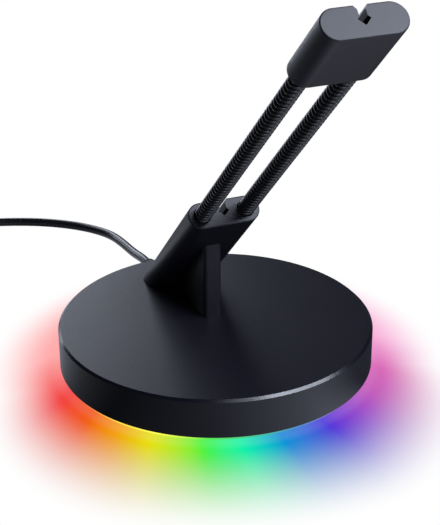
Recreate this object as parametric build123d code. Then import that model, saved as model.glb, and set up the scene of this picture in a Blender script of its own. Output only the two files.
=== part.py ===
from build123d import *
import math
import os

# A lit mouse bungee, in millimetres. The origin is on the desk under the middle of the round base,
# +Z is up, the arm leans towards -Y and the lead leaves at +Y.

# Fits shared by the pieces
FIT = 0.3
SCREW_FIT = 0.1

# Base cover: a round shell with a short skirt and a chamfered edge
BASE_DIA = 100.0
TOP_HEIGHT = 14.55
SKIRT_BOTTOM = 2.0
EDGE_CHAMFER = 0.75
SKIRT_WALL = 2.5
TOP_WALL = 2.2

# Foot pad, bottom plate and light ring, from the desk up
PAD_THICK = 1.0
PAD_INSET = 3.0
PAD_GROOVE_WIDTH = 1.6
PAD_GROOVE_DEPTH = 0.5
PAD_GROOVE_SPACING = 8.0
PAD_GROOVES = 3
PLATE_THICK = 2.0
PLATE_LIP_THICK = 0.8
PLATE_LIP_REACH = 3.5
PLATE_LIP_WIDTH = 7.5
LIGHT_BAND = 11.0
LIGHT_EDGE_INSET = 0.7

# Ballast and the plate's ring that holds it up against the cover
WEIGHT_THICK = 6.0
WEIGHT_GAP = 1.5
CRADLE_GAP = 2.5
CRADLE_WALL = 2.0

# Circuit board, lights, chip and header
BOARD_THICK = 1.0
BOARD_WIDTH = 12.5
BOARD_GAP = 0.5
LED_COUNT = 18
LED_WIDTH = 3.5
LED_DEPTH = 2.8
LED_HEIGHT = 0.6
LED_EDGE = 0.8
CHIP_SIZE = 5.0
CHIP_HEIGHT = 0.9
CHIP_ANGLE = 60.0
HEADER_WIDTH = 7.5
HEADER_DEPTH = 5.0
HEADER_HEIGHT = 3.4
HEADER_SETBACK = 4.0
HEADER_NOTCH_WIDTH = 8.4
HEADER_NOTCH_DEPTH = 1.6

# Screws: shank, head and bosses
PLATE_SCREW_DIA = 2.5
PLATE_SCREW_HEAD_DIA = 4.6
PLATE_SCREW_HEAD = 1.1
PLATE_SCREW_BITE = 6.0
PLATE_SCREWS = 4
PLATE_SCREW_INSET = 7.0
BOSS_DIA = 7.0
BOARD_SCREW_DIA = 2.0
BOARD_SCREW_HEAD_DIA = 3.6
BOARD_SCREW_HEAD = 1.0
BOARD_SCREW_BITE = 2.0
BOARD_SCREWS = 4
BOARD_SCREW_INSET = 3.0
NECK_SCREW_DIA = 2.6
NECK_SCREW_HEAD_DIA = 5.0
NECK_SCREW_HEAD = 1.6
NECK_SCREW_BITE = 6.5
NECK_SCREW_SPACING = 14.0
NECK_SCREW_SETBACK = 3.5
RIB_SCREW_SETBACK = 10.0

# Arm: the axis that the neck, springs and head share
ARM_TILT = 45.75
ARM_FOOT_Y = 34.0
NECK_LENGTH = 57.85
SPRING_FREE = 92.45
HEAD_LENGTH = 23.45

# Neck and its front gusset
NECK_WIDTH = 23.2
NECK_THICK = 8.5
NECK_EDGE = 0.4
RIB_WIDTH = 6.0
RIB_FRONT_Y = 1.7
RIB_CORNER = 1.3

# Head
HEAD_WIDTH = 23.1
HEAD_THICK = 8.7
HEAD_EDGE = 0.4

# Cable slot: a flared mouth, a throat and a square seat set on its corner
SLOT_MOUTH = 4.0
SLOT_THROAT = 2.2
SLOT_FLARE = 1.2
SLOT_DEPTH = 3.75
SEAT_DIAGONAL = 3.6

# Springs and the sockets and spigots that hold their ends
SPRING_DIA = 5.23
SPRING_BORE = 3.2
SPRING_PITCH = 1.905
SPRING_GROOVE = 0.42
SPRING_SPACING = 14.16
SOCKET_DEPTH = 11.0
SPIGOT_LENGTH = 8.0

# Strain relief in the back of the skirt
LEAD_DIA = 3.2
BOOT_LENGTH = 12.0
BOOT_ROOT_DIA = 7.0
BOOT_TIP_DIA = 4.8
BOOT_WAIST_DIA = 5.4
BOOT_FLANGE_DIA = 6.8
BOOT_FLANGE = 1.3
BOOT_GROOVES = 3
BOOT_GROOVE_WIDTH = 1.2
BOOT_GROOVE_DEPTH = 0.5

# Lead: points of the route after the boot, then a tied coil of two layers, a tail and the plug
LEAD_STRAIGHT = 5.0
LEAD_POINTS = [
    (-0.6, 76.0, 5.1),
    (-0.9, 87.0, 4.3),
    (-1.6, 98.0, 3.2),
    (-5.0, 108.0, 2.1),
    (-12.0, 117.0, 1.7),
    (-22.5, 124.5, 1.7),
    (-35.0, 129.6, 1.9),
    (-49.0, 132.0, 2.5),
    (-63.0, 132.0, 2.5),
]
TAIL_RUN = 9.0
TAIL_DRIFT = 0.3
COIL_RADIUS = 19.2
COIL_TURNS = 3.925
COIL_PITCH = 3.4
COIL_SLACK = 0.25
COIL_STUB = 15.0
TIE_THICK = 0.6
TIE_ANGLE = 22.0
TIE_PLACE = 315.0

# Plug: USB type A
PLUG_WIDTH = 16.0
PLUG_THICK = 8.4
PLUG_LENGTH = 24.0
PLUG_ROUND = 2.0
PLUG_BOOT_LENGTH = 9.0
PLUG_BOOT_DIA = 7.2
PLUG_BOOT_TIP_DIA = 4.8
SHELL_WIDTH = 12.0
SHELL_THICK = 4.5
SHELL_LENGTH = 18.75
SHELL_WALL = 0.3
WINDOW_WIDTH = 2.5
WINDOW_LENGTH = 2.0
WINDOW_SPACING = 5.6
WINDOW_SETBACK = 6.5
TONGUE_THICK = 1.9
TONGUE_LENGTH = 17.5
CONTACTS = 4
CONTACT_SPACING = 2.3
CONTACT_WIDTH = 1.2
CONTACT_THICK = 0.2
CONTACT_LENGTH = 12.0

# Heights and radii that follow from the sizes above
BASE_RADIUS = BASE_DIA / 2
COVER_BORE = BASE_RADIUS - SKIRT_WALL
COVER_CEILING = TOP_HEIGHT - TOP_WALL
PLATE_RADIUS = BASE_RADIUS - LIGHT_BAND
PLATE_TOP = PAD_THICK + PLATE_THICK
LIP_TOP = PLATE_TOP + PLATE_LIP_THICK
LIP_RADIUS = PLATE_RADIUS + PLATE_LIP_REACH
BOARD_RADIUS = COVER_BORE - BOARD_GAP
BOARD_BORE = BOARD_RADIUS - BOARD_WIDTH
BOARD_TOP = LIP_TOP + BOARD_THICK
BOARD_SCREW_CIRCLE = BOARD_BORE + BOARD_SCREW_INSET
WEIGHT_RADIUS = BOARD_BORE - WEIGHT_GAP
WEIGHT_BOTTOM = COVER_CEILING - WEIGHT_THICK
PLATE_SCREW_CIRCLE = WEIGHT_RADIUS - PLATE_SCREW_INSET
CRADLE_RADIUS = PLATE_SCREW_CIRCLE - BOSS_DIA / 2 - CRADLE_GAP
HEADER_FACE_Y = COVER_BORE - BOOT_FLANGE - HEADER_SETBACK
LEAD_HEIGHT = BOARD_TOP + HEADER_HEIGHT / 2
BOOT_END_Y = BASE_RADIUS + BOOT_LENGTH
HEAD_START = NECK_LENGTH + SPRING_FREE
HEAD_END = HEAD_START + HEAD_LENGTH
SOCKET_DIA = SPRING_DIA + FIT
SPIGOT_DIA = SPRING_BORE - FIT
NECK_SCREW_Y = ARM_FOOT_Y - NECK_SCREW_SETBACK
RIB_SCREW_Y = RIB_FRONT_Y + RIB_SCREW_SETBACK
COIL_SPAN = COIL_TURNS * COIL_PITCH
COIL_OUT = COIL_RADIUS + COIL_SPAN / 2
COIL_WIDTH = COIL_SPAN + LEAD_DIA + 2 * COIL_SLACK
COIL_HEIGHT = COIL_PITCH + LEAD_DIA + 2 * COIL_SLACK

# Places that several pieces share
TILT = math.radians(ARM_TILT)
ARM_AXIS = (0, -math.sin(TILT), math.cos(TILT))
ARM_BACK = (0, math.cos(TILT), math.sin(TILT))
ARM_FOOT = (0, ARM_FOOT_Y, TOP_HEIGHT)
ARM = Plane(origin=ARM_FOOT, x_dir=(1, 0, 0), z_dir=ARM_AXIS)
LEAD_OUT = Plane(origin=(0, 0, LEAD_HEIGHT), x_dir=(1, 0, 0), z_dir=(0, 1, 0))
NECK_SCREW_POINTS = [
    (-NECK_SCREW_SPACING / 2, NECK_SCREW_Y),
    (NECK_SCREW_SPACING / 2, NECK_SCREW_Y),
    (0, RIB_SCREW_Y),
]


def turned(*profile):
    """A solid of revolution about Z from points of radius and height."""
    outline = Polyline(*[(radius, 0, height) for radius, height in profile], close=True)
    return revolve(make_face(outline), Axis.Z)


def ring(inner, outer, low, high):
    return turned((inner, low), (outer, low), (outer, high), (inner, high))


def post(diameter, low, high):
    """A cylinder on the Z axis between two heights."""
    return turned((0, low), (diameter / 2, low), (diameter / 2, high), (0, high))


def around(count, radius, first):
    """Places spread evenly round the Z axis, each turned to face outwards."""
    step = 360 / count
    return [Rot(0, 0, first + step * turn) * Pos(radius, 0, 0) for turn in range(count)]


def screw(shank, head, head_height, length):
    """Points up: the head's seat is at height 0 and the shank rises from it."""
    return turned(
        (0, -head_height),
        (head / 2, -head_height),
        (head / 2, 0),
        (shank / 2, 0),
        (shank / 2, length),
        (0, length),
    )


PLATE_SCREW_PLACES = around(PLATE_SCREWS, PLATE_SCREW_CIRCLE, 0)
BOARD_SCREW_PLACES = around(BOARD_SCREWS, BOARD_SCREW_CIRCLE, 45)
NECK_SCREW_PLACES = [Pos(x, y, 0) for x, y in NECK_SCREW_POINTS]


def base_cover():
    shell = turned(
        (0, COVER_CEILING),
        (COVER_BORE, COVER_CEILING),
        (COVER_BORE, SKIRT_BOTTOM),
        (BASE_RADIUS, SKIRT_BOTTOM),
        (BASE_RADIUS, TOP_HEIGHT - EDGE_CHAMFER),
        (BASE_RADIUS - EDGE_CHAMFER, TOP_HEIGHT),
        (0, TOP_HEIGHT),
    )
    boss = post(BOSS_DIA, PLATE_TOP, COVER_CEILING)
    pilot = post(PLATE_SCREW_DIA + SCREW_FIT, PLATE_TOP, PLATE_TOP + PLATE_SCREW_BITE + FIT)
    neck_hole = post(NECK_SCREW_DIA + FIT, COVER_CEILING, TOP_HEIGHT)
    lead_hole = LEAD_OUT * post(BOOT_WAIST_DIA + SCREW_FIT, COVER_BORE - SKIRT_WALL, BASE_RADIUS)
    shell += [place * boss for place in PLATE_SCREW_PLACES]
    shell -= [place * pilot for place in PLATE_SCREW_PLACES]
    shell -= [place * neck_hole for place in NECK_SCREW_PLACES]
    return shell - lead_hole


def base_weight():
    disc = post(2 * WEIGHT_RADIUS, WEIGHT_BOTTOM, COVER_CEILING)
    boss_hole = post(BOSS_DIA + 2 * FIT, WEIGHT_BOTTOM, COVER_CEILING)
    head_hole = post(NECK_SCREW_HEAD_DIA + 4 * FIT, WEIGHT_BOTTOM, COVER_CEILING)
    disc -= [place * boss_hole for place in PLATE_SCREW_PLACES]
    return disc - [place * head_hole for place in NECK_SCREW_PLACES]


def bottom_plate():
    lip_bore = LIP_RADIUS - PLATE_LIP_WIDTH
    plate = turned(
        (0, PAD_THICK),
        (PLATE_RADIUS, PAD_THICK),
        (PLATE_RADIUS, PLATE_TOP),
        (LIP_RADIUS, PLATE_TOP),
        (LIP_RADIUS, LIP_TOP),
        (lip_bore, LIP_TOP),
        (lip_bore, PLATE_TOP),
        (CRADLE_RADIUS, PLATE_TOP),
        (CRADLE_RADIUS, WEIGHT_BOTTOM),
        (CRADLE_RADIUS - CRADLE_WALL, WEIGHT_BOTTOM),
        (CRADLE_RADIUS - CRADLE_WALL, PLATE_TOP),
        (0, PLATE_TOP),
    )
    head_room = post(PLATE_SCREW_HEAD_DIA + FIT, PAD_THICK, PAD_THICK + PLATE_SCREW_HEAD)
    shank_room = post(PLATE_SCREW_DIA + FIT, PAD_THICK, PLATE_TOP)
    pilot = post(BOARD_SCREW_DIA + SCREW_FIT, LIP_TOP - BOARD_SCREW_BITE - FIT, LIP_TOP)
    plate -= [place * (head_room + shank_room) for place in PLATE_SCREW_PLACES]
    return plate - [place * pilot for place in BOARD_SCREW_PLACES]


def light_ring():
    bore = PLATE_RADIUS + FIT
    return turned(
        (bore, PAD_THICK),
        (BASE_RADIUS - LIGHT_EDGE_INSET, PAD_THICK),
        (BASE_RADIUS - LIGHT_EDGE_INSET, SKIRT_BOTTOM),
        (COVER_BORE - FIT, SKIRT_BOTTOM),
        (COVER_BORE - FIT, PLATE_TOP),
        (bore, PLATE_TOP),
    )


def foot_pad():
    pad_radius = PLATE_RADIUS - PAD_INSET
    pad = post(2 * pad_radius, 0, PAD_THICK)
    for count in range(1, PAD_GROOVES + 1):
        outer = pad_radius - count * PAD_GROOVE_SPACING + PAD_GROOVE_WIDTH
        pad -= ring(outer - PAD_GROOVE_WIDTH, outer, 0, PAD_GROOVE_DEPTH)
    return pad


def led_board():
    board = ring(BOARD_BORE, BOARD_RADIUS, LIP_TOP, BOARD_TOP)
    hole = post(BOARD_SCREW_DIA + FIT, LIP_TOP, BOARD_TOP)
    notch_y = COVER_BORE - HEADER_NOTCH_DEPTH
    notch = Box(HEADER_NOTCH_WIDTH, 2 * HEADER_NOTCH_DEPTH, 4 * BOARD_THICK)
    board -= [place * hole for place in BOARD_SCREW_PLACES]
    return board - Pos(0, notch_y + HEADER_NOTCH_DEPTH, LIP_TOP) * notch


def leds():
    """Lights on the underside of the board, above the clear part of the light ring."""
    radius = BOARD_RADIUS - LED_EDGE - LED_DEPTH / 2
    light = Pos(0, 0, LIP_TOP - LED_HEIGHT / 2) * Box(LED_DEPTH, LED_WIDTH, LED_HEIGHT)
    return Compound([place * light for place in around(LED_COUNT, radius, 0)])


def controller_chip():
    chip = Box(CHIP_SIZE, CHIP_SIZE, CHIP_HEIGHT)
    middle = (BOARD_BORE + BOARD_RADIUS) / 2
    return Rot(0, 0, CHIP_ANGLE) * Pos(middle, 0, BOARD_TOP + CHIP_HEIGHT / 2) * chip


def lead_header():
    """A connector on the board, open to the back where the lead goes in."""
    body = Box(HEADER_WIDTH, HEADER_DEPTH, HEADER_HEIGHT)
    return Pos(0, HEADER_FACE_Y - HEADER_DEPTH / 2, LEAD_HEIGHT) * body


def lead_inner():
    """The lead's end inside the base, from the header to the boot."""
    return LEAD_OUT * post(LEAD_DIA, HEADER_FACE_Y, COVER_BORE - FIT - BOOT_FLANGE)


def strain_relief():
    """A rubber boot: a flange inside the skirt, a waist in its hole and a grooved taper outside."""
    inside = COVER_BORE - FIT
    outside = BASE_RADIUS
    tip = BOOT_TIP_DIA / 2
    boot = turned(
        (0, inside - BOOT_FLANGE),
        (BOOT_FLANGE_DIA / 2, inside - BOOT_FLANGE),
        (BOOT_FLANGE_DIA / 2, inside),
        (BOOT_WAIST_DIA / 2, inside),
        (BOOT_WAIST_DIA / 2, outside),
        (BOOT_ROOT_DIA / 2, outside),
        (tip, BOOT_END_Y),
        (0, BOOT_END_Y),
    )
    spacing = BOOT_LENGTH / (BOOT_GROOVES + 1)
    for count in range(1, BOOT_GROOVES + 1):
        middle = outside + count * spacing
        taper = (BOOT_ROOT_DIA - BOOT_TIP_DIA) / 2 * count / (BOOT_GROOVES + 1)
        floor = BOOT_ROOT_DIA / 2 - taper - BOOT_GROOVE_DEPTH
        half = BOOT_GROOVE_WIDTH / 2
        boot -= ring(floor, BOOT_ROOT_DIA, middle - half, middle + half)
    return LEAD_OUT * boot


def obround_bar(width, thick, start, end, edge):
    """A bar of obround section along the arm's axis, with softened ends."""
    bar = Pos(0, 0, start) * extrude(SlotOverall(width, thick), end - start)
    ends = bar.faces().filter_by(Axis.Z).edges()
    return ARM * fillet(ends, edge)


def cable_slot(thick, start, end):
    """What the slot in the back of the neck and head takes away."""
    face = thick / 2
    seat = face - SLOT_DEPTH
    half_seat = SEAT_DIAGONAL / 2
    half_throat = SLOT_THROAT / 2
    half_mouth = SLOT_MOUTH / 2
    right = [
        (half_mouth, face + SLOT_FLARE),
        (half_mouth, face),
        (half_throat, face - SLOT_FLARE),
        (half_throat, seat + half_seat - half_throat),
        (half_seat, seat),
        (0, seat - half_seat),
    ]
    left = [(-x, y) for x, y in reversed(right[:-1])]
    outline = make_face(Polyline(*right, *left, close=True))
    return ARM * Pos(0, 0, start) * extrude(outline, end - start)


def spring_sockets(mouth, floor):
    """What the two spring sockets take away, each with a spigot left standing in it."""
    towards_mouth = math.copysign(1, mouth - floor)
    socket = post(SOCKET_DIA, min(mouth, floor), max(mouth, floor))
    spigot_end = floor + towards_mouth * SPIGOT_LENGTH
    spigot = post(SPIGOT_DIA, min(floor, spigot_end), max(floor, spigot_end))
    pocket = socket - spigot
    return [ARM * Pos(side * SPRING_SPACING / 2, 0, 0) * pocket for side in (-1, 1)]


def neck():
    bar = obround_bar(NECK_WIDTH, NECK_THICK, -NECK_LENGTH, NECK_LENGTH, NECK_EDGE)
    bar = split(bar, bisect_by=Plane.XY.offset(TOP_HEIGHT), keep=Keep.TOP)
    rib_length = ARM_FOOT_Y - RIB_FRONT_Y
    foot = Rectangle(RIB_WIDTH, rib_length)
    foot = fillet(foot.vertices().group_by(Axis.Y)[0], RIB_CORNER)
    rib = Pos(0, RIB_FRONT_Y + rib_length / 2, TOP_HEIGHT) * extrude(foot, NECK_LENGTH)
    rib = split(rib, bisect_by=Plane(origin=ARM_FOOT, x_dir=(1, 0, 0), z_dir=ARM_BACK), keep=Keep.BOTTOM)
    pilot = post(NECK_SCREW_DIA + SCREW_FIT, TOP_HEIGHT, TOP_HEIGHT + NECK_SCREW_BITE + FIT)
    body = bar + rib
    body -= cable_slot(NECK_THICK, -NECK_LENGTH, NECK_LENGTH + NECK_THICK)
    body -= spring_sockets(NECK_LENGTH, NECK_LENGTH - SOCKET_DEPTH)
    return body - [place * pilot for place in NECK_SCREW_PLACES]


def head():
    bar = obround_bar(HEAD_WIDTH, HEAD_THICK, HEAD_START, HEAD_END, HEAD_EDGE)
    bar -= cable_slot(HEAD_THICK, HEAD_START - HEAD_THICK, HEAD_END + HEAD_THICK)
    return bar - spring_sockets(HEAD_START, HEAD_START + SOCKET_DEPTH)


def spring(side):
    """A close-wound spring arm: one groove between each turn and the next, plain in its sockets."""
    crest = SPRING_DIA / 2
    bottom = NECK_LENGTH - SOCKET_DEPTH
    top = HEAD_START + SOCKET_DEPTH
    turns = round(SPRING_FREE / SPRING_PITCH) + 1
    first = (NECK_LENGTH + HEAD_START - turns * SPRING_PITCH) / 2
    outline = [(SPRING_BORE / 2, bottom), (crest, bottom)]
    for turn in range(turns):
        start = first + turn * SPRING_PITCH
        outline += [(crest, start), (crest - SPRING_GROOVE, start + SPRING_PITCH / 2)]
    outline += [(crest, first + turns * SPRING_PITCH), (crest, top), (SPRING_BORE / 2, top)]
    return ARM * Pos(side * SPRING_SPACING / 2, 0, 0) * turned(*outline)


def plate_screws():
    seat = PAD_THICK + PLATE_SCREW_HEAD
    length = PLATE_TOP + PLATE_SCREW_BITE - seat
    one = screw(PLATE_SCREW_DIA, PLATE_SCREW_HEAD_DIA, PLATE_SCREW_HEAD, length)
    return Compound([place * Pos(0, 0, seat) * one for place in PLATE_SCREW_PLACES])


def board_screws():
    one = screw(BOARD_SCREW_DIA, BOARD_SCREW_HEAD_DIA, BOARD_SCREW_HEAD, BOARD_THICK + BOARD_SCREW_BITE)
    return Compound([place * Pos(0, 0, BOARD_TOP) * Rot(180, 0, 0) * one for place in BOARD_SCREW_PLACES])


def neck_screws():
    one = screw(NECK_SCREW_DIA, NECK_SCREW_HEAD_DIA, NECK_SCREW_HEAD, TOP_WALL + NECK_SCREW_BITE)
    return Compound([place * Pos(0, 0, COVER_CEILING) * one for place in NECK_SCREW_PLACES])


def lead_tube(name, points):
    """A tube of the lead along straight runs joined by arcs as large as the runs allow."""
    runs = [Vector(*end) - Vector(*start) for start, end in zip(points, points[1:])]
    radii = []
    for before, after in zip(runs, runs[1:]):
        half_turn = math.radians(before.get_angle(after)) / 2
        radii.append(0.45 * min(before.length, after.length) / math.tan(half_turn))
    path = FilletPolyline(*points, radius=radii)
    section = Plane(origin=points[0], z_dir=path % 0) * Circle(LEAD_DIA / 2)
    tube = sweep(section, path=path)
    share = tube.volume / (math.pi * LEAD_DIA**2 / 4 * path.length)
    print(name, "radii", [round(radius, 1) for radius in radii])
    print(name, "length", round(path.length, 1), "volume over section times length", round(share, 4))
    return tube


LEAD_EXIT = (0, BOOT_END_Y, LEAD_HEIGHT)
LEAD_ROUTE = [LEAD_EXIT, (0, BOOT_END_Y + LEAD_STRAIGHT, LEAD_HEIGHT), *LEAD_POINTS]
ROUTE_END = Vector(*LEAD_ROUTE[-1])
COIL_X = ROUTE_END.X - COIL_STUB
COIL_Y = ROUTE_END.Y - COIL_OUT
COIL_MIDDLE = ROUTE_END.Z + COIL_PITCH / 2
TAIL_START = Vector(COIL_X - COIL_OUT, COIL_Y - COIL_STUB, ROUTE_END.Z + COIL_PITCH)


def tail_route():
    """From the coil's upper layer down to the middle of the plug, which lies flat on the desk."""
    half_drop = (TAIL_START.Z - PLUG_THICK / 2) / 2
    steps = [
        (0, -TAIL_RUN, 0),
        (-TAIL_DRIFT, -TAIL_RUN, -half_drop),
        (TAIL_DRIFT, -TAIL_RUN, -half_drop),
        (0, -TAIL_RUN, 0),
    ]
    points = [TAIL_START]
    for step in steps:
        points.append(points[-1] + Vector(*step))
    return [tuple(point) for point in points]


def coil_section(margin):
    """The coil's section, or the tie's outside, in the plane that is turned about the coil's axis."""
    corner = LEAD_DIA / 2 + COIL_SLACK + margin
    outline = RectangleRounded(COIL_WIDTH + 2 * margin, COIL_HEIGHT + 2 * margin, corner)
    return Plane.XZ * Pos(COIL_RADIUS, 0) * outline


def lead_coil():
    """The outer shape of the wound turns, with the two ends of the lead leaving it along its sides."""
    stub = extrude(Circle(LEAD_DIA / 2), COIL_STUB)
    coil = revolve(coil_section(0), Axis.Z)
    coil += Pos(0, COIL_OUT, -COIL_PITCH / 2) * Rot(0, 90, 0) * stub
    coil += Pos(-COIL_OUT, 0, COIL_PITCH / 2) * Rot(90, 0, 0) * stub
    return Pos(COIL_X, COIL_Y, COIL_MIDDLE) * coil


def lead_tie():
    band = coil_section(TIE_THICK) - coil_section(0)
    tie = Rot(0, 0, TIE_PLACE) * revolve(band, Axis.Z, TIE_ANGLE)
    return Pos(COIL_X, COIL_Y, COIL_MIDDLE) * tie


PLUG_START = tail_route()[-1]
PLUG = Plane(origin=PLUG_START, x_dir=(1, 0, 0), z_dir=(0, -1, 0))
PLUG_FACE = PLUG_BOOT_LENGTH + PLUG_LENGTH


def plug_body():
    """A moulded grip with a tapered boot round the lead."""
    boot = turned(
        (0, 0),
        (PLUG_BOOT_TIP_DIA / 2, 0),
        (PLUG_BOOT_DIA / 2, PLUG_BOOT_LENGTH),
        (0, PLUG_BOOT_LENGTH),
    )
    grip = extrude(RectangleRounded(PLUG_WIDTH, PLUG_THICK, PLUG_ROUND), PLUG_LENGTH)
    grip = fillet(grip.faces().sort_by(Axis.Z)[0].edges(), PLUG_ROUND / 2)
    return PLUG * (boot + Pos(0, 0, PLUG_BOOT_LENGTH) * grip)


def plug_shell():
    outside = extrude(Rectangle(SHELL_WIDTH, SHELL_THICK), SHELL_LENGTH)
    inside = extrude(Rectangle(SHELL_WIDTH - 2 * SHELL_WALL, SHELL_THICK - 2 * SHELL_WALL), SHELL_LENGTH)
    window = Box(WINDOW_WIDTH, 2 * SHELL_THICK, WINDOW_LENGTH)
    shell = outside - inside
    for side in (-1, 1):
        shell -= Pos(side * WINDOW_SPACING / 2, 0, SHELL_LENGTH - WINDOW_SETBACK) * window
    return PLUG * Pos(0, 0, PLUG_FACE) * shell


TONGUE_TOP = TONGUE_THICK + SHELL_WALL - SHELL_THICK / 2


def plug_tongue():
    width = SHELL_WIDTH - 2 * SHELL_WALL - FIT
    tongue = extrude(Rectangle(width, TONGUE_THICK), TONGUE_LENGTH)
    return PLUG * Pos(0, TONGUE_TOP - TONGUE_THICK / 2, PLUG_FACE) * tongue


def plug_contacts():
    strip = extrude(Rectangle(CONTACT_WIDTH, CONTACT_THICK), CONTACT_LENGTH)
    first = -CONTACT_SPACING * (CONTACTS - 1) / 2
    height = TONGUE_TOP + CONTACT_THICK / 2
    places = [Pos(first + count * CONTACT_SPACING, height, PLUG_FACE) for count in range(CONTACTS)]
    return Compound([PLUG * place * strip for place in places])


def main():
    pieces = {
        "base_cover": base_cover(),
        "base_weight": base_weight(),
        "bottom_plate": bottom_plate(),
        "light_ring": light_ring(),
        "foot_pad": foot_pad(),
        "led_board": led_board(),
        "leds": leds(),
        "controller_chip": controller_chip(),
        "lead_header": lead_header(),
        "lead_inner": lead_inner(),
        "strain_relief": strain_relief(),
        "plate_screws": plate_screws(),
        "board_screws": board_screws(),
        "neck_screws": neck_screws(),
        "neck": neck(),
        "spring_left": spring(-1),
        "spring_right": spring(1),
        "head": head(),
        "lead_run": lead_tube("lead_run", LEAD_ROUTE),
        "lead_coil": lead_coil(),
        "lead_tie": lead_tie(),
        "lead_tail": lead_tube("lead_tail", tail_route()),
        "plug_body": plug_body(),
        "plug_shell": plug_shell(),
        "plug_tongue": plug_tongue(),
        "plug_contacts": plug_contacts(),
    }
    os.makedirs("parts", exist_ok=True)
    for name, piece in pieces.items():
        export_step(piece, f"parts/{name}.step")


main()
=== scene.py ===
# %% [markdown]
# # A lit mouse bungee
#
# A mouse bungee holds the cable of a mouse off the desk. A heavy round base carries a leaning
# neck, two sprung arms and a slotted head, and a band of light shines from under the base.
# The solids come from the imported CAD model. This lesson adds what solids leave out: wound
# springs, the lead, moulded and rubber finishes, the light, and a small photo studio.

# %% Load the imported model
import colorsys
import math

import bpy
from mathutils import Matrix, Quaternion, Vector


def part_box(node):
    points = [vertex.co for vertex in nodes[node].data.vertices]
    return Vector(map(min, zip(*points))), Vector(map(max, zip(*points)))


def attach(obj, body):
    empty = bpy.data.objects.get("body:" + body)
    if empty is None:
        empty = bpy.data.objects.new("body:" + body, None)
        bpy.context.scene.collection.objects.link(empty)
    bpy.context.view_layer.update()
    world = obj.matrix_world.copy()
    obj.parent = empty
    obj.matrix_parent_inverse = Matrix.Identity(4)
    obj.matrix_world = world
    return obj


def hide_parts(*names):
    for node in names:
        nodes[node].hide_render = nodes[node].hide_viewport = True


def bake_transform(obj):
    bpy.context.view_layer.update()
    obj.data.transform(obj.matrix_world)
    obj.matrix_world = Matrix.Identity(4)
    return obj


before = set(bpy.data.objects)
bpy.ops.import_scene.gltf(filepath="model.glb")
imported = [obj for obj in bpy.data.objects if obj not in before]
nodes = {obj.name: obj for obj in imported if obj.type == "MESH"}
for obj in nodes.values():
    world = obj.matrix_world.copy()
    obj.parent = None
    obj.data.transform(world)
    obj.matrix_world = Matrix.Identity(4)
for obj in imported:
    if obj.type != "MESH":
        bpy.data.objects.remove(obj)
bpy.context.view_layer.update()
print("nodes in the frame:", len(nodes))

# %% [markdown]
# ## The camera
#
# The photograph looks down at the base from the front left. A camera can be placed by eye, but
# here its place, its direction and its lens were worked out from the edges of the base, neck and
# head, so that every piece falls where the photograph has it. Yaw is to the right of the +Y axis.

# %% Camera
MM = 0.001
CAMERA_PLACE = Vector((-152.03, -366.44, 225.0)) * MM
CAMERA_YAW = math.radians(22.753)
CAMERA_PITCH = math.radians(-25.631)
CAMERA_ROLL = math.radians(-0.258)
CAMERA_LENS = 96.39
CAMERA_NEAREST = 10.0 * MM

ahead = Vector(
    (
        math.sin(CAMERA_YAW) * math.cos(CAMERA_PITCH),
        math.cos(CAMERA_YAW) * math.cos(CAMERA_PITCH),
        math.sin(CAMERA_PITCH),
    )
)
level = Vector((math.cos(CAMERA_YAW), -math.sin(CAMERA_YAW), 0))
upright = level.cross(ahead)
right = math.cos(CAMERA_ROLL) * level + math.sin(CAMERA_ROLL) * upright
top = math.cos(CAMERA_ROLL) * upright - math.sin(CAMERA_ROLL) * level
camera_data = bpy.data.cameras.new("camera")
camera_data.lens = CAMERA_LENS
camera_data.clip_start = CAMERA_NEAREST
camera = bpy.data.objects.new("camera", camera_data)
bpy.context.scene.collection.objects.link(camera)
turn = Matrix((right, top, -ahead)).transposed().to_4x4()
camera.matrix_world = Matrix.Translation(CAMERA_PLACE) @ turn
bpy.context.scene.camera = camera
print("camera at", [round(x, 3) for x in CAMERA_PLACE])

# %% [markdown]
# ## Joining shader nodes
#
# A finish in Blender is a small network of nodes. It can be drawn with the mouse in the shader
# editor. In a script, a few helpers that add a node, join two sockets, do one sum or map one range
# onto another keep the networks below as short as a sentence.


# %% Helpers for nodes
def add_node(material, kind, **settings):
    node = material.node_tree.nodes.new(kind)
    for name, value in settings.items():
        setattr(node, name, value)
    return node


def wire(material, source, target):
    material.node_tree.links.new(source, target)


def shader_of(material):
    return material.node_tree.nodes["Principled BSDF"]


def feed(material, value, socket):
    """Sets a number on a socket, or wires another node's result to it."""
    if isinstance(value, (int, float)):
        socket.default_value = value
    else:
        wire(material, value, socket)


def work_out(material, operation, first, second=0.0):
    """One step of arithmetic."""
    step = add_node(material, "ShaderNodeMath", operation=operation)
    feed(material, first, step.inputs[0])
    feed(material, second, step.inputs[1])
    return step.outputs["Value"]


def rescale(material, source, old_range, new_range=(0, 1), kind="LINEAR"):
    """Maps one range onto another and stops at its ends."""
    scale = add_node(material, "ShaderNodeMapRange", interpolation_type=kind)
    scale.inputs["From Min"].default_value, scale.inputs["From Max"].default_value = old_range
    scale.inputs["To Min"].default_value, scale.inputs["To Max"].default_value = new_range
    wire(material, source, scale.inputs["Value"])
    return scale.outputs["Result"]


print("node helpers ready")

# %% [markdown]
# ## Finishes
#
# Every finish starts from Blender's Principled shader. A flat colour looks like a computer
# drawing, so a soft noise shifts the tone a little, and a fine noise shifts the roughness and raises
# the grain that a mould leaves. The noise reads object coordinates, which are metres here, so a
# grain of 0.3 mm is a noise scale of one over 0.0003.

# %% Mottled finishes
NOISE_MIDDLE = (0.3, 0.7)
NOISE_DETAIL = 2.0
PATCH = 12.0 * MM


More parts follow.
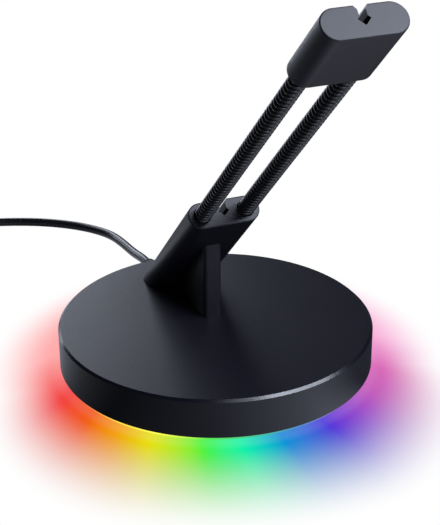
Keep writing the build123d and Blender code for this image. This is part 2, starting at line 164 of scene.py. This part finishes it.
def noise(material, size):
    """A noise whose lumps are about this many metres across."""
    place = add_node(material, "ShaderNodeTexCoord")
    lumps = add_node(material, "ShaderNodeTexNoise")
    lumps.inputs["Scale"].default_value = 1 / size
    lumps.inputs["Detail"].default_value = NOISE_DETAIL
    wire(material, place.outputs["Object"], lumps.inputs["Vector"])
    return lumps.outputs["Fac"]


def spread(material, source, low, high):
    """Maps the middle of a noise onto the range from low to high."""
    return rescale(material, source, NOISE_MIDDLE, (low, high))


def finish_of(name, dark, light, smooth, rough, grain, relief, **sockets):
    """A mottled finish: two tones, two roughnesses, and a grain of a size and a height."""
    material = bpy.data.materials.new(name)
    material.use_nodes = True
    shader = shader_of(material)
    for socket, value in sockets.items():
        shader.inputs[socket.replace("_", " ")].default_value = value
    patches = noise(material, PATCH)
    tones = add_node(material, "ShaderNodeMix", data_type="RGBA")
    tones.inputs["A"].default_value = (*dark, 1)
    tones.inputs["B"].default_value = (*light, 1)
    wire(material, spread(material, patches, 0, 1), tones.inputs["Factor"])
    wire(material, tones.outputs["Result"], shader.inputs["Base Color"])
    grains = noise(material, grain)
    wire(material, spread(material, grains, smooth, rough), shader.inputs["Roughness"])
    bump = add_node(material, "ShaderNodeBump")
    bump.inputs["Distance"].default_value = relief
    wire(material, grains, bump.inputs["Height"])
    wire(material, bump.outputs["Normal"], shader.inputs["Normal"])
    return material


def dress(finish, *names):
    """Gives a finish to the CAD nodes of these names, and says so."""
    for name in names:
        for slot in nodes[name].material_slots:
            slot.material = finish
    print(finish.name, "on", *names)


# %% [markdown]
# ## Moulded plastic
#
# The cover, neck and head are black plastic from a mould with a fine spark texture: dull, but
# with a grey sheen where they face a light. One material could serve for all, but the texture on
# the neck and head is finer than on the wide base, so they get their own in the same two tones.

# %% Cover, neck and head
MOULDED_DARK = (0.0046, 0.0044, 0.0098)
MOULDED_LIGHT = (0.0058, 0.0055, 0.0118)

cover_finish = finish_of(
    "moulded_cover",
    dark=MOULDED_DARK,
    light=MOULDED_LIGHT,
    smooth=0.39,
    rough=0.49,
    grain=0.00045,
    relief=0.000016,
)
arm_finish = finish_of(
    "moulded_arm",
    dark=MOULDED_DARK,
    light=MOULDED_LIGHT,
    smooth=0.43,
    rough=0.52,
    grain=0.00022,
    relief=0.000006,
)
dress(cover_finish, "base_cover", "bottom_plate")
dress(arm_finish, "neck", "head")

# %% [markdown]
# The chamfer round the top is cut clean, so it is smoother than the faces that it joins and draws
# one long highlight. A second material on its faces would need a change to the mesh. But the chamfer
# is the only place on the cover where radius and height add up to their largest sum, so the shader
# can find it by itself.

# %% Smoother chamfer
CHAMFER = 0.75 * MM
CHAMFER_BLEND_START = 0.10 * MM
CHAMFER_BLEND_END = 0.01 * MM
CHAMFER_ROUGHNESS = 0.26

cover_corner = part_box("base_cover")[1]
base_radius = cover_corner.x
base_top = cover_corner.z
chamfer_sum = base_radius + base_top - CHAMFER


def flat_place(material):
    """The place on an object seen from above, without its height."""
    place = add_node(material, "ShaderNodeTexCoord")
    flat = add_node(material, "ShaderNodeVectorMath", operation="MULTIPLY")
    flat.inputs[1].default_value = (1, 1, 0)
    wire(material, place.outputs["Object"], flat.inputs[0])
    return flat.outputs["Vector"]


def radius_of(material):
    """The distance from the upright axis of the base."""
    radius = add_node(material, "ShaderNodeVectorMath", operation="LENGTH")
    wire(material, flat_place(material), radius.inputs[0])
    return radius.outputs["Value"]


def place_parts(material):
    """The three coordinates of a place, apart."""
    place = add_node(material, "ShaderNodeTexCoord")
    parts = add_node(material, "ShaderNodeSeparateXYZ")
    wire(material, place.outputs["Object"], parts.inputs["Vector"])
    return parts.outputs


def smooth_chamfer(material):
    """Lowers the roughness where radius plus height is largest."""
    roughness = shader_of(material).inputs["Roughness"]
    grained = roughness.links[0].from_socket
    total = work_out(material, "ADD", radius_of(material), place_parts(material)["Z"])
    edge = (chamfer_sum - CHAMFER_BLEND_START, chamfer_sum - CHAMFER_BLEND_END)
    blend = add_node(material, "ShaderNodeMix", data_type="FLOAT")
    blend.inputs["B"].default_value = CHAMFER_ROUGHNESS
    wire(material, rescale(material, total, edge), blend.inputs["Factor"])
    wire(material, grained, blend.inputs["A"])
    wire(material, blend.outputs["Result"], roughness)


smooth_chamfer(cover_finish)
print("chamfer where radius plus height is", round(chamfer_sum / MM, 2), "millimetres")

# %% [markdown]
# ## Rubber, lead and plug
#
# The foot pad and the boot round the lead are soft rubber, which is rougher than the mouldings.
# The lead has a satin jacket. One black could serve for all of them, but the sheen is what tells
# rubber from plastic. The plug has a nickel shell, a pale tongue and gold contacts.

# %% Rubber and plug finishes
rubber_finish = finish_of(
    "foot_rubber",
    dark=(0.010, 0.010, 0.011),
    light=(0.016, 0.016, 0.017),
    smooth=0.66,
    rough=0.82,
    grain=0.0004,
    relief=0.00002,
)
jacket_finish = finish_of(
    "lead_jacket",
    dark=(0.0050, 0.0050, 0.0060),
    light=(0.0080, 0.0080, 0.0095),
    smooth=0.24,
    rough=0.31,
    grain=0.0006,
    relief=0.000002,
    Specular_IOR_Level=0.28,
)
grip_finish = finish_of(
    "plug_grip",
    dark=(0.012, 0.012, 0.013),
    light=(0.017, 0.017, 0.018),
    smooth=0.46,
    rough=0.58,
    grain=0.0003,
    relief=0.00001,
)
nickel_finish = finish_of(
    "plug_nickel",
    dark=(0.62, 0.61, 0.58),
    light=(0.70, 0.69, 0.66),
    smooth=0.20,
    rough=0.32,
    grain=0.0005,
    relief=0.000002,
    Metallic=1.0,
)
tongue_finish = finish_of(
    "plug_tongue_white",
    dark=(0.70, 0.70, 0.68),
    light=(0.78, 0.78, 0.76),
    smooth=0.35,
    rough=0.45,
    grain=0.0004,
    relief=0.000003,
)
gold_finish = finish_of(
    "contact_gold",
    dark=(0.78, 0.52, 0.18),
    light=(0.88, 0.62, 0.26),
    smooth=0.18,
    rough=0.28,
    grain=0.0004,
    relief=0.000001,
    Metallic=1.0,
)
dress(rubber_finish, "foot_pad", "strain_relief")
dress(jacket_finish, "lead_inner")
dress(grip_finish, "plug_body")
dress(nickel_finish, "plug_shell")
dress(tongue_finish, "plug_tongue")
dress(gold_finish, "plug_contacts")

# %% [markdown]
# ## What the cover hides
#
# The ballast, the circuit board and the screws are out of sight. One grey would do while the part is
# closed, but a part that is taken apart shows them, so each has its own finish.

# %% Inside finishes
ballast_finish = finish_of(
    "ballast_steel",
    dark=(0.26, 0.25, 0.24),
    light=(0.36, 0.35, 0.34),
    smooth=0.38,
    rough=0.55,
    grain=0.0008,
    relief=0.00001,
    Metallic=1.0,
)
zinc_finish = finish_of(
    "screw_zinc",
    dark=(0.50, 0.51, 0.53),
    light=(0.62, 0.63, 0.65),
    smooth=0.28,
    rough=0.40,
    grain=0.0005,
    relief=0.000003,
    Metallic=1.0,
)
board_finish = finish_of(
    "board_green",
    dark=(0.010, 0.075, 0.030),
    light=(0.014, 0.100, 0.042),
    smooth=0.30,
    rough=0.42,
    grain=0.0012,
    relief=0.000004,
)
package_finish = finish_of(
    "light_package",
    dark=(0.78, 0.78, 0.74),
    light=(0.86, 0.86, 0.82),
    smooth=0.40,
    rough=0.50,
    grain=0.0006,
    relief=0.000003,
)
chip_finish = finish_of(
    "chip_epoxy",
    dark=(0.012, 0.012, 0.013),
    light=(0.018, 0.018, 0.019),
    smooth=0.50,
    rough=0.62,
    grain=0.0003,
    relief=0.000006,
)
header_finish = finish_of(
    "header_nylon",
    dark=(0.66, 0.61, 0.50),
    light=(0.74, 0.69, 0.58),
    smooth=0.45,
    rough=0.55,
    grain=0.0005,
    relief=0.000004,
)
dress(ballast_finish, "base_weight")
dress(zinc_finish, "plate_screws", "board_screws", "neck_screws")
dress(board_finish, "led_board")
dress(package_finish, "leds")
dress(chip_finish, "controller_chip")
dress(header_finish, "lead_header")

# %% [markdown]
# ## The arm's line
#
# Neck, springs and head share one leaning axis. The springs could be made upright and turned into
# place. Here a small function turns a distance along the axis into a point instead, so that they
# are wound where they belong.

# %% Arm axis
ARM_FOOT = Vector((0, 34.0 * MM, base_top))
ARM_TILT = math.radians(45.75)
ARM_AXIS = Vector((0, -math.sin(ARM_TILT), math.cos(ARM_TILT)))
ARM_BACK = Vector((0, math.cos(ARM_TILT), math.sin(ARM_TILT)))
ARM_SIDE = Vector((1, 0, 0))
NECK_TOP = 57.85 * MM
HEAD_BOTTOM = 150.3 * MM
SOCKET = 11.0 * MM


def on_arm(along, side=0.0, back=0.0):
    return ARM_FOOT + along * ARM_AXIS + side * ARM_SIDE + back * ARM_BACK


print("neck top at", [round(x, 4) for x in on_arm(NECK_TOP)])

# %% [markdown]
# ## Wound springs
#
# Each arm is a close-wound spring of round-backed wire under a black coating. A tube with a ribbed
# bump map would look right from afar, but a ring is not a helix, and the edge of the arm would be
# straight. So the wire is wound for real, and its section comes first: a round crown and two flat
# shoulders. The shoulders of one turn all but meet those of the next, so the gaps are dark.

# %% Section of the wire
SPRING_RADIUS = 2.615 * MM
SPRING_BORE_RADIUS = 1.6 * MM
SPRING_PITCH = 1.905 * MM
WIRE_SHARE = 0.74
WIRE_CROWN = 0.80 * MM
CROWN_POINTS = 9
SHOULDER_SHARE = 0.985


def wire_section():
    """Points of the wire's section: out from the spring's axis, and along it."""
    shoulder = SHOULDER_SHARE * SPRING_PITCH / 2
    half_wire = WIRE_SHARE * SPRING_PITCH / 2
    gap_floor = SPRING_RADIUS - WIRE_CROWN
    points = [(SPRING_BORE_RADIUS, -shoulder), (gap_floor, -shoulder)]
    for count in range(CROWN_POINTS):
        angle = math.pi * count / (CROWN_POINTS - 1)
        out = gap_floor + WIRE_CROWN * math.sin(angle)
        points.append((out, -half_wire * math.cos(angle)))
    points += [(gap_floor, shoulder), (SPRING_BORE_RADIUS, shoulder)]
    return points


print("points in the wire's section", len(wire_section()))

# %% [markdown]
# The section is carried round a helix. Blender's Screw modifier could do that about an upright axis,
# and the spring would then be tilted into place. Here the points of each step are worked out on the
# leaning axis itself, and each is joined to the same point of the next step.

# %% Wind a length
SPRING_SPACING = 14.16 * MM
STEPS_PER_TURN = 30
SHARP_ANGLE = math.radians(50)


def wind(name, side, start, end):
    """A length of one spring between two distances along the arm."""
    section = wire_section()
    around = len(section)
    steps = round((end - start) / SPRING_PITCH * STEPS_PER_TURN)
    points, faces = [], []
    for step in range(steps + 1):
        along = start + (end - start) * step / steps
        angle = 2 * math.pi * along / SPRING_PITCH
        for out, rise in section:
            x, y = out * math.cos(angle), out * math.sin(angle)
            points.append(on_arm(along + rise, side * SPRING_SPACING / 2 + x, y))
    for step in range(steps):
        first, second = step * around, (step + 1) * around
        for count in range(around):
            after = (count + 1) % around
            faces.append((first + count, first + after, second + after, second + count))
    faces.append(tuple(reversed(range(around))))
    faces.append(tuple(range(steps * around, (steps + 1) * around)))
    mesh = bpy.data.meshes.new(name)
    mesh.from_pydata(points, [], faces)
    mesh.validate()
    mesh.shade_smooth()
    mesh.set_sharp_from_angle(angle=SHARP_ANGLE)
    spring = bpy.data.objects.new(name, mesh)
    bpy.context.scene.collection.objects.link(spring)
    return spring


print("turns to a centimetre", round(10 * MM / SPRING_PITCH, 1))

# %% [markdown]
# A spring bends at its lower half when the arm is pulled forwards, and at its upper half when the
# head is pushed aside. One length that follows two motions at once would need a rig, so each spring
# is made in two lengths, which meet at the middle.

# %% Fit the springs
spring_finish = finish_of(
    "spring_coating",
    dark=(0.0040, 0.0037, 0.0064),
    light=(0.0056, 0.0052, 0.0084),
    smooth=0.26,
    rough=0.30,
    grain=0.0007,
    relief=0.000001,
    Specular_IOR_Level=0.9,
)
SPRING_START = NECK_TOP - SOCKET + SPRING_PITCH / 2
SPRING_MIDDLE = (NECK_TOP + HEAD_BOTTOM) / 2
SPRING_END = HEAD_BOTTOM + SOCKET - SPRING_PITCH / 2

for node, side in (("spring_left", -1), ("spring_right", 1)):
    lower = wind(node + "_lower", side, SPRING_START, SPRING_MIDDLE)
    upper = wind(node + "_upper", side, SPRING_MIDDLE, SPRING_END)
    for length in (lower, upper):
        length.data.materials.append(spring_finish)
    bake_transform(lower)
    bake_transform(upper)
    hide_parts(node)
    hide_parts(node)
    print(node, "faces", len(lower.data.polygons) + len(upper.data.polygons))

# %% [markdown]
# ## The lead
#
# The lead leaves a rubber boot at the back of the base, sinks to the desk and bends away. Its
# length is put away in a tied coil of two layers, with the plug beside it. The bends near the base
# are a few listed points, in millimetres. The coil's turns are worked out by a loop.

# %% Route of the lead
LEAD_EXIT = (0.0, 62.0, 6.5)
LEAD_ROUTE = [
    LEAD_EXIT,
    (0.0, 67.0, 6.5),
    (-0.6, 76.0, 5.1),
    (-0.9, 87.0, 4.3),
    (-1.6, 98.0, 3.2),
    (-5.0, 108.0, 2.1),
    (-12.0, 117.0, 1.7),
    (-22.5, 124.5, 1.7),
    (-35.0, 129.6, 1.9),
    (-49.0, 132.0, 2.5),
    (-63.0, 132.0, 2.5),
]
COIL_MIDDLE = (-78.0, 106.1275)
COIL_OUTSIDE = 25.8725
COIL_LAYER_TURNS = 3.925
COIL_CLIMB_TURNS = 0.4
COIL_PITCH = 3.4
COIL_LOW = 2.5
POINTS_PER_TURN = 24
TAIL = [
    (-103.8725, 91.1275, 5.9),
    (-103.8725, 82.1275, 5.9),
    (-104.1725, 73.1275, 5.05),
    (-103.8725, 64.1275, 4.2),
    (-103.8725, 55.1275, 4.2),
]


def coil_points():
    """Inwards along the lower layer, up a step, and outwards along the upper layer."""
    turns = 2 * COIL_LAYER_TURNS + COIL_CLIMB_TURNS
    count = round(turns * POINTS_PER_TURN)
    points = []
    for step in range(count + 1):
        turn = turns * step / count
        left = turns - turn
        layer_turn = min(turn, COIL_LAYER_TURNS, left)
        climbed = min(max((turn - COIL_LAYER_TURNS) / COIL_CLIMB_TURNS, 0), 1)
        radius = COIL_OUTSIDE - COIL_PITCH * layer_turn
        angle = math.pi / 2 + 2 * math.pi * turn
        x = COIL_MIDDLE[0] + radius * math.cos(angle)
        y = COIL_MIDDLE[1] + radius * math.sin(angle)
        points.append((x, y, COIL_LOW + COIL_PITCH * climbed))
    return points


print("points in the coil", len(coil_points()))

# %% [markdown]
# A mesh tube would show its corners in the tight bends. A curve with a round bevel is the natural
# way to make a cord: one smooth line near its control points, and a thickness.

# %% Lay the lead
LEAD_DIA = 3.2 * MM
CORD_ORDER = 3
CORD_STEPS = 6
CORD_ROUNDNESS = 5


def lay_cord(name, points, diameter):
    """A round cord on one smooth spline, whose control points are in millimetres."""
    line = bpy.data.curves.new(name, "CURVE")
    line.dimensions = "3D"
    spline = line.splines.new("NURBS")
    spline.points.add(len(points) - 1)
    for point, place in zip(spline.points, points):
        point.co = (*(Vector(place) * MM), 1)
    spline.order_u = CORD_ORDER
    spline.use_endpoint_u = True
    spline.resolution_u = CORD_STEPS
    line.bevel_depth = diameter / 2
    line.bevel_resolution = CORD_ROUNDNESS
    line.use_fill_caps = True
    cord = bpy.data.objects.new(name, line)
    bpy.context.scene.collection.objects.link(cord)
    return cord


lead = lay_cord("lead", LEAD_ROUTE + coil_points() + TAIL, LEAD_DIA)
lead.data.materials.append(jacket_finish)
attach(lead, "base")
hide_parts("lead_run", "lead_coil", "lead_tail")
strap_finish = finish_of(
    "tie_strap",
    dark=(0.010, 0.010, 0.011),
    light=(0.020, 0.020, 0.022),
    smooth=0.75,
    rough=0.90,
    grain=0.0005,
    relief=0.00006,
)
dress(strap_finish, "lead_tie")
print("lead control points", len(lead.data.splines[0].points))

# %% [markdown]
# ## The band of light
#
# Under the skirt sits a milky ring, lit by a row of coloured lights. The hue runs once round the
# base like a colour wheel, and most of the change is at the front. Small lamps for each light
# would be slow to render, so the ring itself glows: its angle about the base picks a colour from
# a ramp. Each stop is an angle in degrees, a hue and a lightness.

# %% Colour round the base
RING_COLOURS = (
    (-180, 0.0, 0.9),
    (-160, 0.04, 0.95),
    (-148, 0.125, 1.0),
    (-132, 0.17, 1.0),
    (-116, 0.325, 0.75),
    (-100, 0.405, 0.5),
    (-84, 0.59, 0.45),
    (-60, 0.735, 0.4),
    (-30, 0.905, 0.7),
    (60, 0.93, 0.9),
    (180, 1.0, 0.9),
)
RING_DEPTH = 0.92
RING_GLOW = 1.1
HALF_TURN = 180
FULL_TURN = 360


def rgb_stops(stops):
    """Turns the hue, depth and lightness of each stop into red, green and blue."""
    return [(angle, colorsys.hsv_to_rgb(hue, depth, light)) for angle, hue, depth, light in stops]


def colour_by_angle(material, stops, behind=0.0):
    """A colour by the angle, in degrees from +X, about a point this far behind the base's middle."""
    parts = place_parts(material)
    forth = work_out(material, "SUBTRACT", parts["Y"], behind)
    angle = work_out(material, "ARCTAN2", forth, parts["X"])
    ramp = add_node(material, "ShaderNodeValToRGB")
    marks = ramp.color_ramp.elements
    shares = [(degrees + HALF_TURN) / FULL_TURN for degrees, colour in stops]
    for share in shares[1:-1]:
        marks.new(share)
    for mark, share, (degrees, colour) in zip(marks, shares, stops):
        mark.position = share
        mark.color = (*colour, 1)
    wire(material, rescale(material, angle, (-math.pi, math.pi)), ramp.inputs["Fac"])
    return ramp.outputs["Color"]


ring_stops = rgb_stops((angle, hue, RING_DEPTH, light) for angle, hue, light in RING_COLOURS)
ring_finish = finish_of(
    "light_band",
    dark=(0.020, 0.020, 0.022),
    light=(0.030, 0.030, 0.032),
    smooth=0.50,
    rough=0.60,
    grain=0.0006,
    relief=0.000004,
)
ring_shader = shader_of(ring_finish)
ring_shader.inputs["Emission Strength"].default_value = RING_GLOW
wire(ring_finish, colour_by_angle(ring_finish, ring_stops), ring_shader.inputs["Emission Color"])
dress(ring_finish, "light_ring")
print("ring colours", len(ring_stops))

# %% [markdown]
# ## The desk
#
# The desk is a plain white sheet with a pool of coloured light round the base. A real lamp would
# hardly tint a sheet that the studio already lights to white, so the pool is painted light in the
# floor's colour. It starts at the base in full colour and fades to white within a few centimetres,
# a little further to the front, where painted shade also dims the sheet a little. Right at the base
# it is painted a touch paler than a few millimetres out. The colours fan out from a point behind
# the base's middle, because each light also throws some of its colour straight ahead. Each stop is
# an angle about that point, a hue, a depth of colour and a lightness.

# %% Pool of light
POOL_START = 52.0 * MM
POOL_FRONT = math.radians(-105)
POOL_TURN = (0.2, 0.9)
POOL_SHORT = 22.5 * MM
POOL_LONG = 43.0 * MM
POOL_SHADE = 0.25
POOL_RIM = (base_radius, 54.0 * MM)
POOL_RIM_WHITE = 0.04
POOL_BEHIND = 40.0 * MM
POOL_COLOURS = (
    (-180, 1.00, 0.60, 1.00),
    (-160, 1.00, 0.60, 1.00),
    (-140, 0.00, 0.95, 0.90),
    (-130, 0.02, 1.00, 0.90),
    (-122, 0.07, 1.00, 0.90),
    (-115, 0.16, 1.00, 0.80),
    (-105, 0.33, 0.95, 0.90),
    (-98, 0.41, 1.00, 0.90),
    (-90, 0.60, 1.00, 0.70),
    (-80, 0.68, 0.95, 0.70),
    (-65, 0.85, 0.80, 0.55),
    (-55, 0.90, 0.80, 0.70),
    (-40, 0.91, 0.55, 0.95),
    (180, 1.00, 0.60, 1.00),
)


def painted_pool_colour(material):
    """The sheet's colour with painted light and shade: that of the lights at the base, white further
    out.
    """
    heading = add_node(material, "ShaderNodeVectorMath", operation="NORMALIZE")
    wire(material, flat_place(material), heading.inputs[0])
    forward = add_node(material, "ShaderNodeVectorMath", operation="DOT_PRODUCT")
    forward.inputs[1].default_value = (math.cos(POOL_FRONT), math.sin(POOL_FRONT), 0)
    wire(material, heading.outputs["Vector"], forward.inputs[0])
    front = rescale(material, forward.outputs["Value"], POOL_TURN)
    reach = rescale(material, front, (0, 1), (POOL_SHORT, POOL_LONG))
    radius = radius_of(material)
    share = work_out(material, "DIVIDE", work_out(material, "SUBTRACT", radius, POOL_START), reach)
    fade = rescale(material, share, (0, 1), kind="SMOOTHSTEP")
    # Painted light: right at the base the pool is paled a touch towards white.
    rim = rescale(material, radius, POOL_RIM, (POOL_RIM_WHITE, 0), kind="SMOOTHSTEP")
    tint = add_node(material, "ShaderNodeMix", data_type="RGBA")
    tint.inputs["B"].default_value = (1, 1, 1, 1)
    near_base = colour_by_angle(material, rgb_stops(POOL_COLOURS), POOL_BEHIND)
    wire(material, near_base, tint.inputs["A"])
    wire(material, work_out(material, "ADD", fade, rim), tint.inputs["Factor"])
    # Painted shade: between the base and the white, the sheet is dimmed a little, most at the front.
    unfaded = work_out(material, "SUBTRACT", 1, fade)
    between = work_out(material, "MULTIPLY", work_out(material, "SQRT", fade), unfaded)
    depth = rescale(material, front, (0, 1), (0, POOL_SHADE))
    shade = work_out(material, "MULTIPLY", between, depth)
    lit = add_node(material, "ShaderNodeVectorMath", operation="SCALE")
    wire(material, tint.outputs["Result"], lit.inputs[0])
    wire(material, work_out(material, "SUBTRACT", 1, shade), lit.inputs["Scale"])
    return lit.outputs["Vector"]


print("pool reaches", POOL_SHORT / MM, "to", POOL_LONG / MM, "millimetres")

# %% [markdown]
# Black plastic mirrors the desk, and a photographer lays white and black cards round it to shape
# that reflection. Cards as objects would show in the picture. Here the floor does their work: the
# camera sees the white sheet, and the reflections see cards whose brightness changes with the
# angle about the base, in one way near the base and in another further out.

# %% Cards for the reflections
CARDS_NEAR = (
    (-180, 0.25),
    (-157, 0.05),
    (-112, 0.30),
    (-67, 1.25),
    (-42, 0.08),
    (60, 0.06),
    (100, 1.50),
    (130, 1.50),
    (155, 0.85),
    (180, 0.25),
)
CARDS_FAR = (
    (-180, 0.05),
    (-135, 0.10),
    (-113, 0.40),
    (-88, 0.50),
    (-67, 0.80),
    (-48, 0.95),
    (-25, 0.20),
    (60, 0.05),
    (98, 0.05),
    (112, 0.80),
    (130, 0.80),
    (148, 0.05),
    (180, 0.05),
)
NEAR_EDGE = 65.0 * MM
FAR_EDGE = 130.0 * MM
COOL = (0.80, 0.86, 1.0)


def cool_stops(cards):
    return [(angle, [light * x for x in COOL]) for angle, light in cards]


def card_colour(material):
    """What the reflections see of the desk."""
    outwards = rescale(material, radius_of(material), (NEAR_EDGE, FAR_EDGE))
    cards = add_node(material, "ShaderNodeMix", data_type="RGBA")
    wire(material, outwards, cards.inputs["Factor"])
    wire(material, colour_by_angle(material, cool_stops(CARDS_NEAR)), cards.inputs["A"])
    wire(material, colour_by_angle(material, cool_stops(CARDS_FAR)), cards.inputs["B"])
    return cards.outputs["Result"]


print("cards", len(CARDS_NEAR), "near and", len(CARDS_FAR), "far")

# %% [markdown]
# The sheet itself is one large square, so that its edge is out of sight. A Light Path node tells a
# camera ray from a reflection, and so picks the white sheet or the cards.

# %% Lay the floor
FLOOR_HALF = 3.0

floor_mesh = bpy.data.meshes.new("floor")
corners = [(-1, -1), (1, -1), (1, 1), (-1, 1)]
floor_points = [(x * FLOOR_HALF, y * FLOOR_HALF, 0) for x, y in corners]
floor_mesh.from_pydata(floor_points, [], [(0, 1, 2, 3)])
floor = bpy.data.objects.new("floor", floor_mesh)
bpy.context.scene.collection.objects.link(floor)
painted_pool_floor = bpy.data.materials.new("white_floor_painted_pool")
painted_pool_floor.use_nodes = True
painted_pool_floor.node_tree.nodes.remove(shader_of(painted_pool_floor))
sheet = add_node(painted_pool_floor, "ShaderNodeEmission")
wire(painted_pool_floor, painted_pool_colour(painted_pool_floor), sheet.inputs["Color"])
card = add_node(painted_pool_floor, "ShaderNodeEmission")
wire(painted_pool_floor, card_colour(painted_pool_floor), card.inputs["Color"])
seen = add_node(painted_pool_floor, "ShaderNodeLightPath")
either = add_node(painted_pool_floor, "ShaderNodeMixShader")
wire(painted_pool_floor, seen.outputs["Is Camera Ray"], either.inputs["Fac"])
wire(painted_pool_floor, card.outputs["Emission"], either.inputs[1])
wire(painted_pool_floor, sheet.outputs["Emission"], either.inputs[2])
surface = painted_pool_floor.node_tree.nodes["Material Output"].inputs["Surface"]
wire(painted_pool_floor, either.outputs["Shader"], surface)
floor_mesh.materials.append(painted_pool_floor)
print("floor", 2 * FLOOR_HALF, "metres across")

# %% [markdown]
# ## Studio light
#
# Black plastic shows the lamps more than its own colour, so the lamps are what shapes it. A key at
# the front right, with a weaker box beside it, lights the face of the head and the top of the neck.
# A long strip, slanted like the chamfer's reflection, draws the highlight at the front edge. The
# boxes at the back grey the top of the base from the left, and the low ones catch the springs and
# the rim of the neck. Blender asks for watts, which change with a lamp's area, so each box is given
# as a brightness and its watts are worked out. Angles are in degrees, and sizes in metres.

# %% Soft boxes
LAMP_AIM = Vector((0, 0, 50.0 * MM))


def soft_box(name, azimuth, elevation, distance, width, height, brightness, lean=0.0):
    """A soft box that faces the middle of the object. Azimuth is from +X towards +Y."""
    around, above = math.radians(azimuth), math.radians(elevation)
    flat = math.cos(above)
    away = Vector((math.cos(around) * flat, math.sin(around) * flat, math.sin(above)))
    lamp = bpy.data.lights.new(name, "AREA")
    lamp.shape = "RECTANGLE"
    lamp.size, lamp.size_y = width, height
    lamp.energy = brightness * math.pi * width * height
    lamp.color = COOL
    box = bpy.data.objects.new(name, lamp)
    box.location = LAMP_AIM + away * distance
    box.rotation_mode = "QUATERNION"
    slant = Quaternion((0, 0, 1), math.radians(lean))
    box.rotation_quaternion = away.to_track_quat("Z", "Y") @ slant
    bpy.context.scene.collection.objects.link(box)


soft_box("box_key", -52, 54, 0.42, 0.17, 0.19, 7.7)
soft_box("box_side", -84, 52, 0.6, 0.20, 0.26, 2.8)
soft_box("box_edge", -44, 42, 0.6, 0.48, 0.09, 17.6, lean=-27)
soft_box("box_back", 87, 16, 0.6, 0.26, 0.24, 5.0, lean=30)
soft_box("box_back_left", 114, 36, 0.6, 0.22, 0.14, 3.0)
soft_box("box_back_low", 106, 4, 0.6, 0.24, 0.08, 6.0)
soft_box("box_low_side", -98, 1, 0.6, 0.14, 0.06, 9.0)
soft_box("box_low_front", -60, 1, 0.6, 0.14, 0.06, 8.0)

# %% [markdown]
# The room round the studio is white to the camera, so that the sheet has no horizon, and nearly dark
# to the plastic. A white room would do both jobs in one, but it would wash out the shapes that the
# boxes draw. The Standard view shows colours as they are, without a film look.

# %% Room
ROOM_FILL = 0.02

room = bpy.data.worlds.new("studio")
room.use_nodes = True
backdrop = room.node_tree.nodes["Background"]
backdrop.inputs["Color"].default_value = (1, 1, 1, 1)
path = add_node(room, "ShaderNodeLightPath")
brightness = rescale(room, path.outputs["Is Camera Ray"], (0, 1), (ROOM_FILL, 1))
wire(room, brightness, backdrop.inputs["Strength"])
bpy.context.scene.world = room
bpy.context.scene.view_settings.view_transform = "Standard"
print("room brightness to the plastic", ROOM_FILL)
